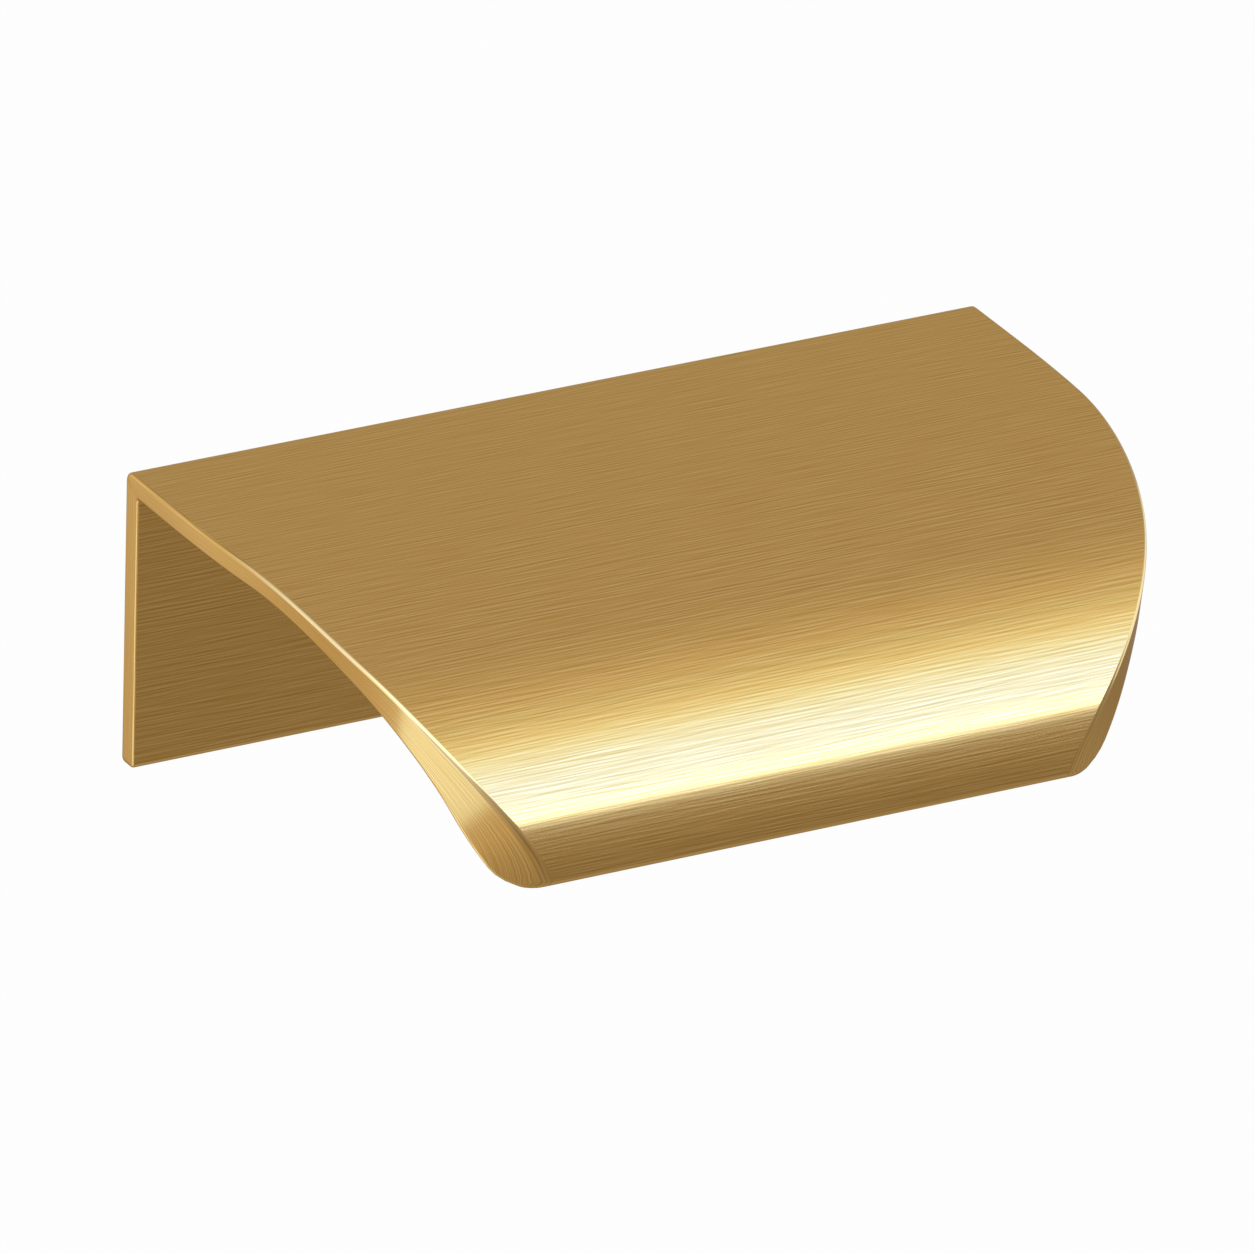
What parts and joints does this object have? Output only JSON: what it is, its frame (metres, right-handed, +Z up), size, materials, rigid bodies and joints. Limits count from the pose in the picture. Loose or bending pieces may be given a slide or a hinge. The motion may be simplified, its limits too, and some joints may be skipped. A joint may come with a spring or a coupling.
{
  "type": "cabinet edge pull",
  "caption": "Brushed brass edge pull for a cabinet door or drawer front: a screwed leg behind it, a plate over its edge and a curved finger lip.",
  "frame": {"origin": "midway between the two screw holes, on the front face of the leg, which seats on the back of the door", "axes": "+X along the pull, -Y towards the lip, +Z up, out of the plate"},
  "size_m": [0.08, 0.0464, 0.0266],
  "materials": {
    "brushed_brass": "brushed along the length, satin, with eased bright edges"
  },
  "bodies": {
    "root": {"edge_pull": "brushed_brass"}
  },
  "joints": []
}
